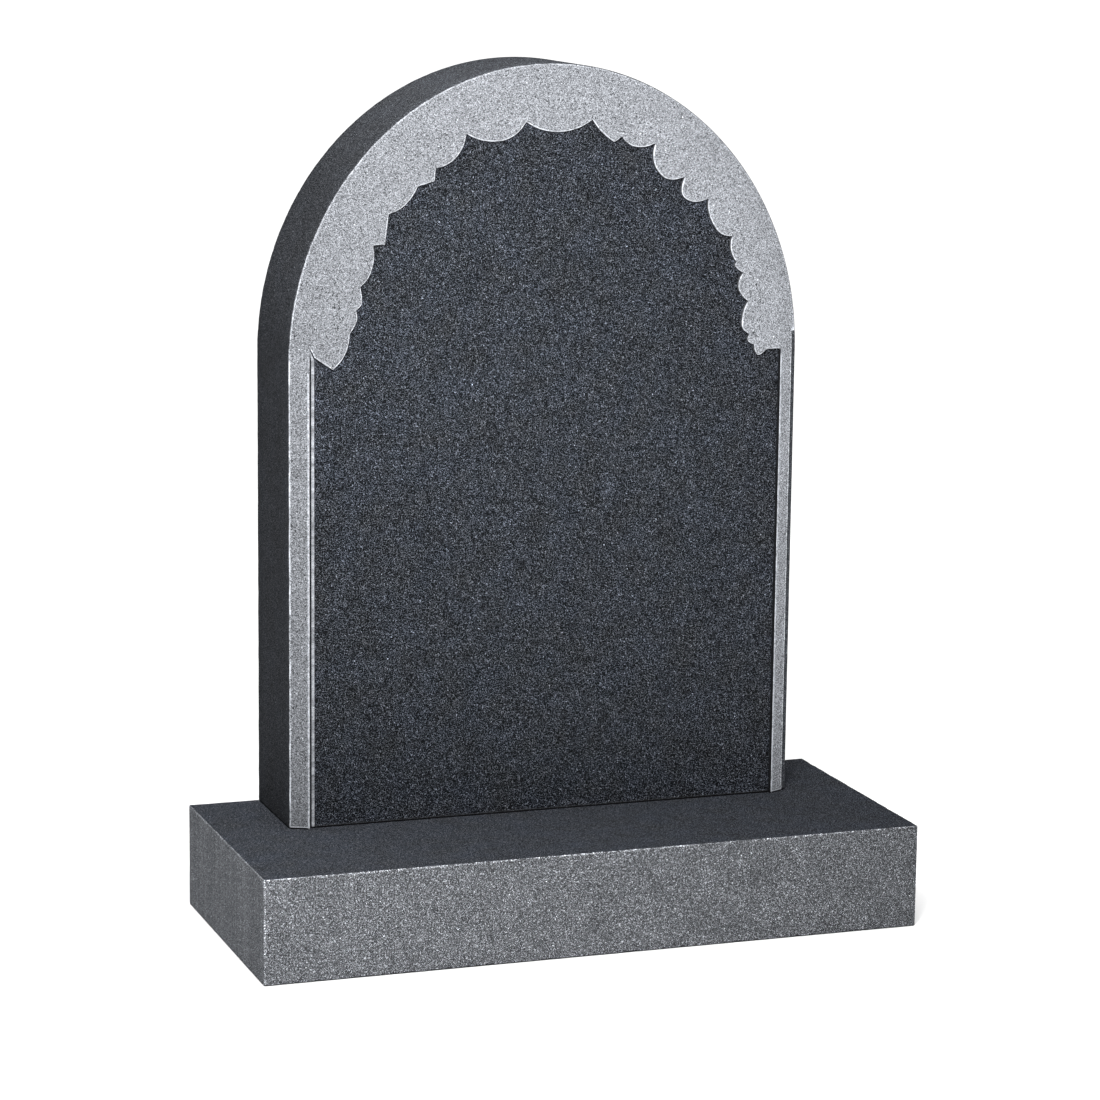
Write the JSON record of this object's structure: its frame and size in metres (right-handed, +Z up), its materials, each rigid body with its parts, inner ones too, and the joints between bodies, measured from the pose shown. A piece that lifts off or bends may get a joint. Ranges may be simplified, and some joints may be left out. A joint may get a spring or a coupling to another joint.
{
  "type": "headstone",
  "caption": "Round-topped granite headstone on a rectangular plinth. Its raised border is a plain chamfer up the sides and a carved leaf-edged band round the arch.",
  "frame": {"origin": "centre of the plinth's underside, on the ground", "axes": "+Z up, the carved face looks along -Y, +X to the right of someone who faces it"},
  "size_m": [0.762, 0.33, 0.9633],
  "materials": {
    "plinth_granite": "sawn and fine-pitched faces, speckled mid grey granite, with a smoother dark top",
    "slab_granite": "polished dark grey granite, with the raised border frosted pale by the chisel"
  },
  "bodies": {
    "root": {"plinth": "plinth_granite", "upright_slab": "slab_granite"}
  },
  "joints": []
}
